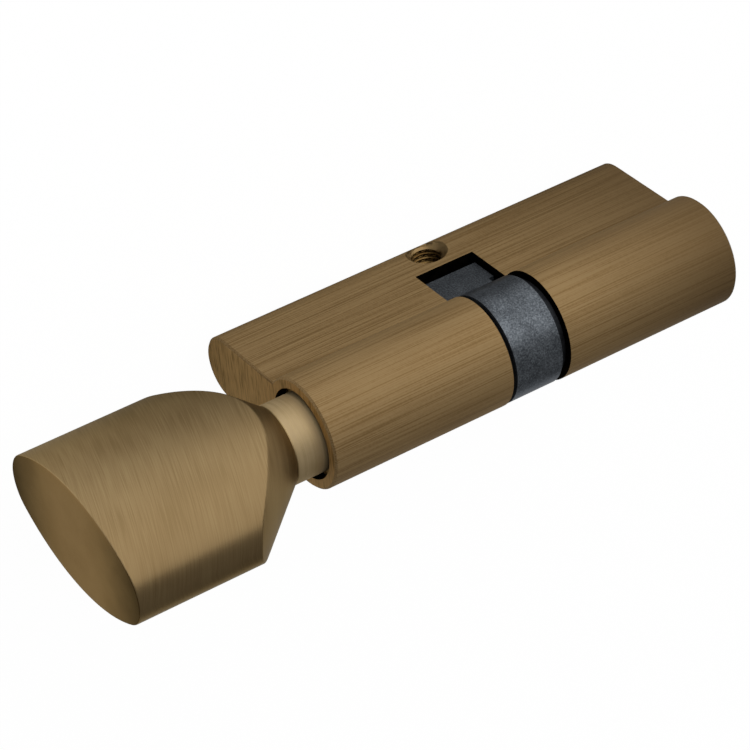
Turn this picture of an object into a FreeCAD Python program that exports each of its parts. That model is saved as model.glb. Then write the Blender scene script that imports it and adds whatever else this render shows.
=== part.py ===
import FreeCAD, Part
import math
import os

import Sketcher
from FreeCAD import Placement, Rotation, Vector

# Profile lock cylinder with a turn knob at one end and a key plug at the other.
# The origin is the middle of the fixing screw's hole. +X runs along the plug's axis to the key end,
# +Z points from the narrow foot up to the round barrel, and +Y is one of the two flat sides.
# Lengths are in millimetres and angles in degrees.

DIMENSIONS = {
    # casing
    "turn_half_length": 35.0,       # fixing screw to the face at the knob
    "key_half_length": 35.0,        # fixing screw to the face at the key
    "barrel_radius": 8.4,
    "foot_radius": 5.0,             # half the width of the flat-sided web, and its rounded foot
    "axis_rise": 19.6,              # plug's axis above the fixing screw
    "slot_half_width": 5.0,         # the cam's slot, each way from the fixing screw
    "slot_depth": 15.1,             # slot's floor below the plug's axis
    "notch_radius": 0.5,            # soft corner where the flat meets the barrel
    "rim_chamfer": 0.3,
    "screw_core_radius": 2.1,       # core of the M5 fixing thread
    "screw_mouth_radius": 3.2,      # countersunk mouth of that thread
    # fits
    "running_gap": 0.05,            # round a piece that turns or slides in a hole
    "end_gap": 0.1,                 # between the ends of pieces in one line
    # plug and spindle
    "plug_radius": 6.4,
    "head_radius": 7.2,             # key plug's front rim
    "head_depth": 1.2,
    "mouth_radius": 6.82,           # open recess round the knob's neck
    "mouth_depth": 2.4,
    "collar_depth": 0.8,            # spindle's stop in that recess
    "front_chamfer": 0.35,
    "groove_depth": 0.65,           # circlip grooves near the inner ends
    "circlip_radius": 7.4,
    "key_circlip_depth": 1.0,
    "turn_circlip_depth": 0.5,
    "circlip_opening": 80.0,
    # keyway
    "keyway_half_width": 1.1,
    "keyway_top": 4.4,
    "keyway_bottom": 4.6,
    "ward_reach": 0.8,
    "ward_height": 1.2,
    "upper_ward_top": 3.3,
    "lower_ward_top": 1.2,
    # pins
    "first_pin_depth": 5.5,         # from the face at the key to the middle of the nearest pin
    "pin_pitch": 4.0,
    "pin_radius": 1.4,
    "chamber_top": 0.2,             # tip of each drilled chamber below the plug's axis
    "tip_height": 1.0,              # cone at the top of a chamber and of a key pin
    "tip_flat": 0.5,                # radius at the cone's small end
    "driver_length": 5.0,
    "chamber_plug_length": 2.0,
    "spring_coil_radius": 1.12,
    "wire_radius": 0.2,
    # cam
    "ring_inset": 0.1,              # how far the ring lies inside the barrel's surface
    "ring_turn_reach": 4.25,        # ring's faces, each way from the fixing screw
    "ring_key_reach": 3.6,
    "web_turn_reach": 1.5,          # inner web that the couplings drive
    "web_key_reach": 0.9,
    "lever_reach": 14.3,            # lever's tip from the plug's axis
    "lever_half_width": 4.0,
    "foot_start": 9.2,              # where the lever widens below the ring
    "lever_turn_reach": 3.9,
    "lever_key_reach": 4.5,
    "tip_chamfer": 0.5,
    # couplings
    "dog_half_width": 1.5,
    "dog_half_length": 5.2,
    "hub_radius": 2.4,
    "coupling_length": 3.75,
    "coupling_travel": 2.5,
    "spring_bore_radius": 1.9,
    "spring_bore_depth": 9.0,
    "push_coil_radius": 1.45,
    "push_wire_radius": 0.25,
    # knob
    "neck_radius": 6.0,
    "neck_length": 4.55,            # from the casing's face to the knob's cone
    "knob_length": 31.75,           # from the cone's small end to the end face
    "knob_half_width": 16.6,
    "knob_half_thickness": 8.8,
    "knob_side_radius": 26.1,       # of the two broad faces
    "cone_length": 12.65,
    "knob_edge": 0.25,
    "knob_tilt": 6.3,               # how far the knob stands turned from upright
    "stub_radius": 4.0,             # spindle's end inside the knob
    "stub_length": 16.6,
    "grub_place": 12.5,             # from the casing's face to the knob's grub screw
    "grub_radius": 1.6,
    "grub_length": 4.0,
    "grub_point": 0.5,
    "socket_radius": 1.15,
    "socket_depth": 1.8,
}

# Lengths of the key pins, from the key end inwards, as the key's cuts need them.
KEY_PIN_LENGTHS = {
    "key_pin_1": 4.2,
    "key_pin_2": 5.4,
    "key_pin_3": 3.6,
    "key_pin_4": 4.8,
    "key_pin_5": 5.6,
}

# Straight runs in one turn of a spring, and the turns of the springs.
RUNS_IN_A_TURN = 6
PIN_SPRING_TURNS = 4
PUSH_SPRING_TURNS = 5

# An edge or face lies on a plane if it is this near to it.
NEARLY = 0.01

document = FreeCAD.newDocument("LockCylinder")
sheet = document.addObject("Spreadsheet::Sheet", "Dimensions")
for row, (alias, value) in enumerate({**DIMENSIONS, **KEY_PIN_LENGTHS}.items(), start=1):
    sheet.set(f"A{row}", alias.replace("_", " "))
    sheet.set(f"B{row}", str(value))
    sheet.setAlias(f"B{row}", alias)
document.recompute()


class Size:
    """A length that holds its number and the same length as a formula on the sheet."""

    def __init__(self, number, formula=None):
        self.number = float(number)
        self.formula = formula or f"({number})"

    def __add__(self, other):
        other = size(other)
        return Size(self.number + other.number, f"({self.formula} + {other.formula})")

    def __sub__(self, other):
        other = size(other)
        return Size(self.number - other.number, f"({self.formula} - {other.formula})")

    def __mul__(self, other):
        other = size(other)
        return Size(self.number * other.number, f"({self.formula} * {other.formula})")

    def __truediv__(self, other):
        other = size(other)
        return Size(self.number / other.number, f"({self.formula} / {other.formula})")

    def __neg__(self):
        return Size(-self.number, f"(0 - {self.formula})")


def size(value):
    return value if isinstance(value, Size) else Size(value)


def cell(alias):
    return Size(sheet.get(alias), f"Dimensions.{alias}")


def bind(thing, path, length):
    """Set one of an object's sizes from the sheet."""
    thing.setExpression(path, size(length).formula)


def new_body(label, x=None, z=None, turned=None):
    """An empty body, placed at x and z and turned about the X axis."""
    body = document.addObject("PartDesign::Body", label)
    body.Label = label
    if turned is not None:
        body.Placement = Placement(Vector(0, 0, 0), Rotation(Vector(1, 0, 0), turned.number))
    if x is not None:
        bind(body, "Placement.Base.x", x)
    if z is not None:
        bind(body, "Placement.Base.z", z)
    if turned is not None:
        bind(body, "Placement.Rotation.Angle", turned)
    return body


def new_sketch(body, role, name, right=None, up=None, out=None):
    """A sketch on one of the body's origin planes, moved in the plane's own directions."""
    plane = [item for item in body.Origin.OriginFeatures if item.Role == role][0]
    sketch = body.newObject("Sketcher::SketchObject", name)
    sketch.AttachmentSupport = [(plane, "")]
    sketch.MapMode = "FlatFace"
    for letter, length in (("x", right), ("y", up), ("z", out)):
        if length is not None:
            bind(sketch, f"AttachmentOffset.Base.{letter}", length)
    return sketch


def fix_point(sketch, curve, end, x, y):
    """Hold a curve's end at x and y from the sketch's origin."""
    for kind, axis, length in (("DistanceX", -2, size(x)), ("DistanceY", -1, size(y))):
        if length.formula == "(0)":
            sketch.addConstraint(Sketcher.Constraint("PointOnObject", curve, end, axis))
        else:
            index = sketch.addConstraint(Sketcher.Constraint(kind, -1, 1, curve, end, length.number))
            bind(sketch, f"Constraints[{index}]", length)


def draw_outline(sketch, corners):
    """A closed outline of straight lines, each corner held from the sketch's origin."""
    points = [Vector(size(x).number, size(y).number, 0) for x, y in corners]
    lines = []
    for index, point in enumerate(points):
        line = Part.LineSegment(point, points[(index + 1) % len(points)])
        lines.append(sketch.addGeometry(line, False))
    for index, line in enumerate(lines):
        sketch.addConstraint(Sketcher.Constraint("Coincident", line, 1, lines[index - 1], 2))
    for line, (x, y) in zip(lines, corners):
        fix_point(sketch, line, 1, x, y)


def draw_box(sketch, left, right, low, high):
    draw_outline(sketch, [(left, low), (right, low), (right, high), (left, high)])


def draw_circle(sketch, radius):
    circle = sketch.addGeometry(Part.Circle(Vector(0, 0, 0), Vector(0, 0, 1), radius.number), False)
    sketch.addConstraint(Sketcher.Constraint("Coincident", circle, 3, -1, 1))
    index = sketch.addConstraint(Sketcher.Constraint("Radius", circle, radius.number))
    bind(sketch, f"Constraints[{index}]", radius)


def pad(body, sketch, length):
    feature = body.newObject("PartDesign::Pad", sketch.Name + "_pad")
    feature.Profile = sketch
    bind(feature, "Length", length)
    document.recompute()
    return feature


def cut(body, sketch, length=None, both_ways=False, reverse=False):
    """A pocket to a length, or through everything; it must take material away."""
    before = body.Shape.Volume
    feature = body.newObject("PartDesign::Pocket", sketch.Name + "_cut")
    feature.Profile = sketch
    feature.Type = "ThroughAll" if length is None else "Length"
    feature.SideType = "Symmetric" if both_ways else "One side"
    feature.Reversed = reverse
    if length is not None:
        bind(feature, "Length", length)
    document.recompute()
    must_shrink(body, before, feature)
    return feature


def turn(body, sketch, axis="H_Axis", angle=None):
    """A turned solid from a half outline."""
    feature = body.newObject("PartDesign::Revolution", sketch.Name + "_turned")
    feature.Profile = sketch
    feature.ReferenceAxis = (sketch, [axis])
    feature.Angle = 360
    if angle is not None:
        bind(feature, "Angle", angle)
    document.recompute()
    return feature


def bore(body, sketch, axis="H_Axis"):
    """A turned cut from a half outline; it must take material away."""
    before = body.Shape.Volume
    feature = body.newObject("PartDesign::Groove", sketch.Name + "_bored")
    feature.Profile = sketch
    feature.ReferenceAxis = (sketch, [axis])
    feature.Angle = 360
    document.recompute()
    must_shrink(body, before, feature)
    return feature


def must_shrink(body, before, feature):
    if body.Shape.Volume >= before:
        raise RuntimeError(f"{feature.Name} cuts nothing")


def repeat_along(body, feature, sketch, pitch, copies):
    """Copies of a feature in a row, from the key end inwards."""
    pattern = body.newObject("PartDesign::LinearPattern", feature.Name + "_row")
    pattern.Originals = [feature]
    pattern.Direction = (sketch, ["H_Axis"])
    pattern.Reversed = True
    pattern.Mode = "Spacing"
    bind(pattern, "Offset", pitch)
    pattern.Occurrences = copies
    body.Tip = pattern
    document.recompute()


def dress(body, kind, name, wanted, length):
    """A chamfer or fillet on the edges of the body's last feature that pass the wanted test."""
    base = body.Tip
    edges = [f"Edge{n}" for n, edge in enumerate(base.Shape.Edges, start=1) if wanted(edge)]
    feature = body.newObject(f"PartDesign::{kind}", name)
    feature.Base = (base, edges)
    bind(feature, "Radius" if kind == "Fillet" else "Size", length)
    document.recompute()
    return feature


turn_half_length = cell("turn_half_length")
key_half_length = cell("key_half_length")
axis_rise = cell("axis_rise")
running_gap = cell("running_gap")
end_gap = cell("end_gap")
slot_half_width = cell("slot_half_width")
foot_radius = cell("foot_radius")
plug_radius = cell("plug_radius")
pin_radius = cell("pin_radius")
chamber_top = cell("chamber_top")
tip_height = cell("tip_height")
tip_flat = cell("tip_flat")
first_pin = key_half_length - cell("first_pin_depth")
pin_pitch = cell("pin_pitch")
ring_turn_reach = cell("ring_turn_reach")
ring_key_reach = cell("ring_key_reach")
web_turn_reach = cell("web_turn_reach")
web_key_reach = cell("web_key_reach")
coupling_length = cell("coupling_length")
coupling_travel = cell("coupling_travel")
dog_half_width = cell("dog_half_width")
hub_radius = cell("hub_radius")
head_depth = cell("head_depth")
mouth_depth = cell("mouth_depth")
neck_length = cell("neck_length")

chamber_radius = pin_radius + running_gap
bore_radius = plug_radius + running_gap
groove_radius = plug_radius - cell("groove_depth")
spindle_stop = turn_half_length - mouth_depth
knob_seat = spindle_stop + cell("collar_depth")
knob_start = turn_half_length + neck_length
knob_end = knob_start + cell("knob_length")
key_circlip_middle = (slot_half_width + ring_key_reach) / 2
turn_circlip_middle = (slot_half_width + ring_turn_reach) / 2
key_coupling_front = web_key_reach + end_gap
key_coupling_back = key_coupling_front + coupling_length
turn_coupling_front = web_key_reach
turn_coupling_back = coupling_length - turn_coupling_front


# Casing: drawn brass of the common keyhole profile, bored for both plugs and slotted for the cam.
def make_casing():
    body = new_body("cylinder_body")
    barrel_radius = cell("barrel_radius")

    profile = new_sketch(body, "YZ_Plane", "profile", out=-turn_half_length)
    drop = math.sqrt(barrel_radius.number**2 - foot_radius.number**2)
    start = -math.atan2(drop, foot_radius.number)
    barrel_circle = Part.Circle(Vector(0, axis_rise.number, 0), Vector(0, 0, 1), barrel_radius.number)
    barrel = profile.addGeometry(Part.ArcOfCircle(barrel_circle, start, math.pi - start), False)
    foot_circle = Part.Circle(Vector(0, 0, 0), Vector(0, 0, 1), foot_radius.number)
    foot = profile.addGeometry(Part.ArcOfCircle(foot_circle, math.pi, 2 * math.pi), False)
    flats = []
    for side in (-1, 1):
        top = Vector(side * foot_radius.number, axis_rise.number - drop, 0)
        low = Vector(side * foot_radius.number, 0, 0)
        flats.append(profile.addGeometry(Part.LineSegment(low, top), False))
    left, right = flats
    rules = [
        ("Coincident", foot, 3, -1, 1),
        ("Coincident", foot, 1, left, 1),
        ("Coincident", foot, 2, right, 1),
        ("Coincident", barrel, 1, right, 2),
        ("Coincident", barrel, 2, left, 2),
        ("PointOnObject", left, 1, -1),
        ("PointOnObject", right, 1, -1),
        ("Vertical", left),
        ("Vertical", right),
        ("PointOnObject", barrel, 3, -2),
    ]
    for rule in rules:
        profile.addConstraint(Sketcher.Constraint(*rule))
    for rule, length in (
        (("Radius", foot), foot_radius),
        (("Radius", barrel), barrel_radius),
        (("DistanceY", -1, 1, barrel, 3), axis_rise),
    ):
        index = profile.addConstraint(Sketcher.Constraint(*rule, length.number))
        bind(profile, f"Constraints[{index}]", length)
    pad(body, profile, turn_half_length + key_half_length)

    slot = new_sketch(body, "XZ_Plane", "cam_slot", up=axis_rise)
    draw_box(slot, -slot_half_width, slot_half_width, -cell("slot_depth"), barrel_radius * 2)
    cut(body, slot, both_ways=True)

    notch_height = axis_rise.number - drop

    def is_notch(edge):
        centre = edge.BoundBox.Center
        on_flat = abs(abs(centre.y) - foot_radius.number) < NEARLY
        return on_flat and abs(centre.z - notch_height) < NEARLY and edge.BoundBox.XLength > NEARLY

    dress(body, "Fillet", "notch_corners", is_notch, cell("notch_radius"))

    def is_end_rim(edge):
        box = edge.BoundBox
        to_turn_face = abs(box.XMin + turn_half_length.number)
        to_key_face = abs(box.XMax - key_half_length.number)
        return box.XLength < NEARLY and min(to_turn_face, to_key_face) < NEARLY

    dress(body, "Chamfer", "end_rims", is_end_rim, cell("rim_chamfer"))

    key_bore = new_sketch(body, "XZ_Plane", "key_bore", up=axis_rise)
    seat = key_half_length - head_depth - running_gap
    head_bore = cell("head_radius") + running_gap
    draw_outline(key_bore, [
        (0, 0),
        (0, bore_radius),
        (seat, bore_radius),
        (seat, head_bore),
        (key_half_length, head_bore),
        (key_half_length, 0),
    ])
    bore(body, key_bore)

    turn_bore = new_sketch(body, "XZ_Plane", "turn_bore", up=axis_rise)
    draw_outline(turn_bore, [
        (0, 0),
        (0, bore_radius),
        (-spindle_stop, bore_radius),
        (-spindle_stop, cell("mouth_radius")),
        (-turn_half_length, cell("mouth_radius")),
        (-turn_half_length, 0),
    ])
    bore(body, turn_bore)

    chamber = new_sketch(body, "XY_Plane", "pin_chamber", right=first_pin, out=-foot_radius)
    draw_circle(chamber, chamber_radius)
    hole = cut(body, chamber, axis_rise + foot_radius, reverse=True)
    repeat_along(body, hole, chamber, pin_pitch, len(KEY_PIN_LENGTHS))

    screw = new_sketch(body, "XY_Plane", "fixing_screw_hole")
    core = cell("screw_core_radius")
    mouth = cell("screw_mouth_radius")
    depth = mouth - core
    draw_outline(screw, [
        (0, -foot_radius),
        (mouth, -foot_radius),
        (core, depth - foot_radius),
        (core, foot_radius - depth),
        (mouth, foot_radius),
        (0, foot_radius),
    ])
    bore(body, screw, "V_Axis")
    return body


# Key plug: turned brass with a front rim, a keyway, a drilled chamber for each pin and a forked inner end.
def make_key_plug():
    body = new_body("key_plug", z=axis_rise)
    head_radius = cell("head_radius")
    chamfer = cell("front_chamfer")
    circlip_half = cell("key_circlip_depth") / 2
    inner_end = web_key_reach + end_gap
    half = new_sketch(body, "XZ_Plane", "plug_half")
    draw_outline(half, [
        (inner_end, 0),
        (inner_end, plug_radius),
        (key_circlip_middle - circlip_half, plug_radius),
        (key_circlip_middle - circlip_half, groove_radius),
        (key_circlip_middle + circlip_half, groove_radius),
        (key_circlip_middle + circlip_half, plug_radius),
        (key_half_length - head_depth, plug_radius),
        (key_half_length - head_depth, head_radius),
        (key_half_length - chamfer, head_radius),
        (key_half_length, head_radius - chamfer),
        (key_half_length, 0),
    ])
    turn(body, half)

    slot_end = key_coupling_back + end_gap
    cut_coupling_seat(body, "key", inner_end, slot_end)

    keyway = new_sketch(body, "YZ_Plane", "keyway", out=key_half_length)
    width = cell("keyway_half_width")
    reach = cell("ward_reach")
    height = cell("ward_height")
    upper = cell("upper_ward_top")
    lower = cell("lower_ward_top")
    draw_outline(keyway, [
        (-width, -cell("keyway_bottom")),
        (width, -cell("keyway_bottom")),
        (width, lower - height),
        (width - reach, lower - height),
        (width - reach, lower),
        (width, lower),
        (width, cell("keyway_top")),
        (-width, cell("keyway_top")),
        (-width, upper),
        (reach - width, upper),
        (reach - width, upper - height),
        (-width, upper - height),
    ])
    cut(body, keyway, key_half_length - slot_end)

    chamber = new_sketch(body, "XZ_Plane", "plug_chamber", right=first_pin)
    draw_outline(chamber, [
        (0, -chamber_top),
        (tip_flat, -chamber_top),
        (chamber_radius, -chamber_top - tip_height),
        (chamber_radius, -head_radius),
        (0, -head_radius),
    ])
    drilled = bore(body, chamber, "V_Axis")
    repeat_along(body, drilled, chamber, pin_pitch, len(KEY_PIN_LENGTHS))
    return body


def cut_coupling_seat(body, side, near, far):
    """The fork that a coupling slides in: a cross slot and a round middle."""
    slot = new_sketch(body, "XY_Plane", f"{side}_coupling_slot")
    half_width = dog_half_width + running_gap
    draw_box(slot, near, far, -half_width, half_width)
    cut(body, slot, both_ways=True)
    middle = new_sketch(body, "XZ_Plane", f"{side}_coupling_bore")
    draw_box(middle, near, far, 0, hub_radius + running_gap)
    bore(body, middle)


# Pins: turned brass key pins with a coned tip, and plain driver pins below them.
def make_pins(number, length):
    place = first_pin - pin_pitch * (number - 1)
    tip = -(chamber_top + end_gap)
    shoulder = tip - tip_height
    low = tip - length

    key_pin = new_body(f"key_pin_{number}", x=place, z=axis_rise)
    half = new_sketch(key_pin, "XZ_Plane", f"key_pin_half_{number}")
    draw_outline(half, [
        (0, tip),
        (tip_flat - running_gap, tip),
        (pin_radius, shoulder),
        (pin_radius, low),
        (0, low),
    ])
    turn(key_pin, half, "V_Axis")

    bottom = low - cell("driver_length")
    driver = new_body(f"driver_pin_{number}", x=place, z=axis_rise)
    half = new_sketch(driver, "XZ_Plane", f"driver_pin_half_{number}")
    draw_box(half, 0, pin_radius, bottom, low)
    turn(driver, half, "V_Axis")
    return place, bottom, key_pin, driver


# Chamber plugs: short brass slugs pressed into the foot and dressed to its curve.
def make_chamber_plug(number, place):
    slug = document.addObject("Part::Cylinder", f"slug_{number}")
    bind(slug, "Radius", chamber_radius)
    bind(slug, "Height", cell("chamber_plug_length"))
    bind(slug, "Placement.Base.x", place)
    bind(slug, "Placement.Base.z", -foot_radius)
    rounding = document.addObject("Part::Cylinder", f"foot_rounding_{number}")
    rounding.Placement = Placement(Vector(0, 0, 0), Rotation(Vector(0, 1, 0), 90))
    bind(rounding, "Radius", foot_radius)
    bind(rounding, "Height", pin_pitch)
    bind(rounding, "Placement.Base.x", place - pin_pitch / 2)
    plug = document.addObject("Part::Common", f"chamber_plug_{number}")
    plug.Base = slug
    plug.Tool = rounding
    plug.Label = f"chamber_plug_{number}"
    return plug


def make_coil(label, radius, wire, length, turns):
    """A coil spring about the Z axis, its square wire bent in short straight runs."""
    steps = turns * RUNS_IN_A_TURN
    points = []
    for step in range(steps + 1):
        angle = 2 * math.pi * step / RUNS_IN_A_TURN
        height = length.number * step / steps
        points.append(Vector(radius.number * math.cos(angle), radius.number * math.sin(angle), height))
    along = (points[1] - points[0]).normalize()
    out = Vector(1, 0, 0)
    out = (out - along * out.dot(along)).normalize()
    aside = along.cross(out)
    half = wire.number
    corners = [points[0] + out * half * x + aside * half * y for x, y in ((-1, -1), (1, -1), (1, 1), (-1, 1))]
    section = Part.makePolygon(corners + corners[:1])
    path = Part.makePolygon(points)
    coil = document.addObject("Part::Feature", label)
    coil.Shape = path.makePipeShell([section], True, False, 1)
    coil.Label = label
    return coil


# Pin springs: one under each driver pin, standing on its chamber plug.
def make_pin_spring(number, place, top):
    wire = cell("wire_radius")
    start = cell("chamber_plug_length") - foot_radius + wire + end_gap
    length = top + axis_rise - start - wire - end_gap
    spring = make_coil(f"pin_spring_{number}", cell("spring_coil_radius"), wire, length, PIN_SPRING_TURNS)
    bind(spring, "Placement.Base.x", place)
    bind(spring, "Placement.Base.z", start)
    return spring


# Circlips: open steel rings that hold the plug and the spindle in the casing.
def make_circlip(name, middle, depth):
    body = new_body(name, z=axis_rise, turned=cell("circlip_opening") / 2 + 90)
    half = new_sketch(body, "XZ_Plane", name + "_section")
    near = middle - depth / 2
    far = middle + depth / 2
    draw_box(half, near, far, groove_radius + running_gap, cell("circlip_radius"))
    turn(body, half, angle=-cell("circlip_opening") + 360)
    return body


# Cam: sintered steel ring with a lever that throws the lock's bolt.
def make_cam():
    body = new_body("cam", z=axis_rise)
    ring = new_sketch(body, "YZ_Plane", "cam_ring", out=-ring_turn_reach)
    draw_circle(ring, cell("barrel_radius") - cell("ring_inset"))
    pad(body, ring, ring_turn_reach + ring_key_reach)

    half_width = cell("lever_half_width")
    reach = cell("lever_reach")
    chamfer = cell("tip_chamfer")
    shapes = (
        ("lever", size(0), ring_turn_reach, ring_key_reach),
        ("lever_foot", -cell("foot_start"), cell("lever_turn_reach"), cell("lever_key_reach")),
    )
    for name, top, turn_reach, key_reach in shapes:
        lever = new_sketch(body, "YZ_Plane", name, out=-turn_reach)
        draw_outline(lever, [
            (-half_width, top),
            (-half_width, chamfer - reach),
            (chamfer - half_width, -reach),
            (half_width - chamfer, -reach),
            (half_width, chamfer - reach),
            (half_width, top),
        ])
        pad(body, lever, turn_reach + key_reach)

    seats = (("turn_seat", -ring_turn_reach, -web_turn_reach), ("key_seat", web_key_reach, ring_key_reach))
    for name, near, far in seats:
        seat = new_sketch(body, "XZ_Plane", name)
        draw_box(seat, near, far, 0, bore_radius)
        bore(body, seat)

    window = new_sketch(body, "YZ_Plane", "dog_window", out=ring_key_reach)
    half_slot = dog_half_width + running_gap
    half_length = cell("dog_half_length") + running_gap
    draw_box(window, -half_slot, half_slot, -half_length, half_length)
    cut(body, window, ring_key_reach + ring_turn_reach)
    eye = new_sketch(body, "XZ_Plane", "cam_eye")
    draw_box(eye, -web_turn_reach, web_key_reach, 0, hub_radius + running_gap)
    bore(body, eye)
    return body


# Couplings: steel dogs, one for each end, that slide between the cam's web and the forks.
def make_coupling(name, front, back):
    body = new_body(name, z=axis_rise)
    dog = new_sketch(body, "YZ_Plane", name + "_dog", out=back)
    half_length = cell("dog_half_length")
    draw_box(dog, -dog_half_width, dog_half_width, -half_length, half_length)
    pad(body, dog, front - back)
    hub = new_sketch(body, "YZ_Plane", name + "_hub", out=back)
    draw_circle(hub, hub_radius)
    pad(body, hub, front - back)
    return body


# Turn spindle: turned brass, with a stop collar, a stub for the knob and a forked inner end.
def make_spindle():
    body = new_body("turn_spindle", z=axis_rise)
    circlip_half = cell("turn_circlip_depth") / 2
    inner_end = web_turn_reach + end_gap
    collar_radius = cell("mouth_radius") - end_gap
    stub_radius = cell("stub_radius")
    stub_end = knob_seat + cell("stub_length")
    half = new_sketch(body, "XZ_Plane", "spindle_half")
    draw_outline(half, [
        (-inner_end, 0),
        (-inner_end, plug_radius),
        (circlip_half - turn_circlip_middle, plug_radius),
        (circlip_half - turn_circlip_middle, groove_radius),
        (-circlip_half - turn_circlip_middle, groove_radius),
        (-circlip_half - turn_circlip_middle, plug_radius),
        (-spindle_stop, plug_radius),
        (-spindle_stop, collar_radius),
        (-knob_seat, collar_radius),
        (-knob_seat, stub_radius),
        (-stub_end, stub_radius),
        (-stub_end, 0),
    ])
    turn(body, half)

    slot_end = turn_coupling_back + coupling_travel + end_gap
    cut_coupling_seat(body, "turn", -slot_end, -inner_end)
    spring_bore = new_sketch(body, "XZ_Plane", "spring_bore")
    far = slot_end + cell("spring_bore_depth")
    draw_box(spring_bore, -far, -slot_end, 0, cell("spring_bore_radius"))
    bore(body, spring_bore)
    return body, far


# Coupling spring: pushes the turn coupling into the cam.
def make_coupling_spring(far):
    wire = cell("push_wire_radius")
    start = far - wire - end_gap
    length = start - turn_coupling_back - wire - end_gap
    radius = cell("push_coil_radius")
    spring = make_coil("coupling_spring", radius, wire, length, PUSH_SPRING_TURNS)
    spring.Placement = Placement(Vector(0, 0, 0), Rotation(Vector(0, 1, 0), 90))
    bind(spring, "Placement.Base.x", -start)
    bind(spring, "Placement.Base.z", axis_rise)
    return spring


# Knob: brass bar of rounded lens section, turned down to a cone and a round neck, bored for the stub.
def make_knob():
    body = new_body("thumbturn_knob", z=axis_rise, turned=cell("knob_tilt"))
    half_width = cell("knob_half_width")
    thickness = cell("knob_half_thickness")
    side_radius = cell("knob_side_radius")
    tip_radius = lens_tip_radius(half_width, thickness, side_radius)

    lens = new_sketch(body, "YZ_Plane", "lens", out=-knob_end)
    draw_lens(lens, half_width, thickness, side_radius, tip_radius)
    pad(body, lens, knob_end - knob_start)

    neck_radius = cell("neck_radius")
    neck = new_sketch(body, "YZ_Plane", "neck", out=-knob_start)
    draw_circle(neck, neck_radius)
    pad(body, neck, knob_start - knob_seat)

    # The cone reaches the half width at its length; the cutter goes on to twice that.
    clear_radius = half_width * 2 - neck_radius
    cone = new_sketch(body, "XZ_Plane", "cone")
    draw_outline(cone, [
        (-knob_start, neck_radius),
        (-knob_start, clear_radius),
        (-knob_start - cell("cone_length") * 2, clear_radius),
    ])
    bore(body, cone)

    def is_end_rim(edge):
        return edge.BoundBox.XMax < NEARLY - knob_end.number

    dress(body, "Chamfer", "end_edge", is_end_rim, cell("knob_edge"))

    socket = new_sketch(body, "XZ_Plane", "stub_bore")
    far = knob_seat + cell("stub_length") + end_gap
    draw_box(socket, -far, -knob_seat, 0, cell("stub_radius") + running_gap)
    bore(body, socket)

    grub_hole = new_sketch(body, "XZ_Plane", "grub_hole", right=-(turn_half_length + cell("grub_place")))
    draw_circle(grub_hole, cell("grub_radius") + running_gap)
    cut(body, grub_hole, thickness, reverse=True)
    return body


def lens_tip_radius(half_width, thickness, side_radius):
    """Radius of the tip arc that is tangent to both broad arcs and ends at the half width."""
    offset = side_radius - thickness
    top = side_radius * side_radius - offset * offset - half_width * half_width
    return top / ((side_radius - half_width) * 2)


def draw_lens(sketch, half_width, thickness, side_radius, tip_radius):
    """Two broad arcs joined by two tangent tip arcs, all centred on the sketch's axes."""
    side_centre = thickness.number - side_radius.number
    tip_centre = half_width.number - tip_radius.number
    lean = math.atan2(tip_centre, -side_centre)
    arcs = (
        (Vector(side_centre, 0, 0), side_radius.number, -lean, lean),
        (Vector(0, tip_centre, 0), tip_radius.number, lean, math.pi - lean),
        (Vector(-side_centre, 0, 0), side_radius.number, math.pi - lean, math.pi + lean),
        (Vector(0, -tip_centre, 0), tip_radius.number, math.pi + lean, 2 * math.pi - lean),
    )
    near, upper, far, lower = [
        sketch.addGeometry(Part.ArcOfCircle(Part.Circle(centre, Vector(0, 0, 1), radius), start, end), False)
        for centre, radius, start, end in arcs
    ]
    for first, second in ((near, upper), (upper, far), (far, lower), (lower, near)):
        sketch.addConstraint(Sketcher.Constraint("Tangent", first, 2, second, 1))
    sketch.addConstraint(Sketcher.Constraint("PointOnObject", near, 3, -1))
    for tip in (upper, lower):
        sketch.addConstraint(Sketcher.Constraint("PointOnObject", tip, 3, -2))
    for rule, length in (
        (("Radius", near), side_radius),
        (("Radius", far), side_radius),
        (("DistanceX", near, 3, -1, 1), side_radius - thickness),
        (("DistanceY", -1, 1, upper, 3), half_width - tip_radius),
        (("DistanceY", lower, 3, -1, 1), half_width - tip_radius),
    ):
        index = sketch.addConstraint(Sketcher.Constraint(*rule, length.number))
        bind(sketch, f"Constraints[{index}]", length)


# Grub screw: holds the knob on the spindle, with its cup point against the stub.
def make_grub_screw():
    place = -(turn_half_length + cell("grub_place"))
    radius = cell("grub_radius")
    point = cell("grub_point")
    start = cell("stub_radius") + running_gap
    body = new_body("knob_grub_screw", x=place, z=axis_rise, turned=cell("knob_tilt"))
    half = new_sketch(body, "XY_Plane", "grub_half")
    shank = start + point
    end = start + cell("grub_length")
    draw_outline(half, [
        (0, -start),
        (radius - point, -start),
        (radius, -shank),
        (radius, -end),
        (0, -end),
    ])
    turn(body, half, "V_Axis")
    socket = new_sketch(body, "XZ_Plane", "hex_socket", out=end)
    across = cell("socket_radius")
    half_side = across / 2
    half_height = across * math.sqrt(3) / 2
    draw_outline(socket, [
        (across, 0),
        (half_side, half_height),
        (-half_side, half_height),
        (-across, 0),
        (-half_side, -half_height),
        (half_side, -half_height),
    ])
    cut(body, socket, cell("socket_depth"))
    return body


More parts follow.
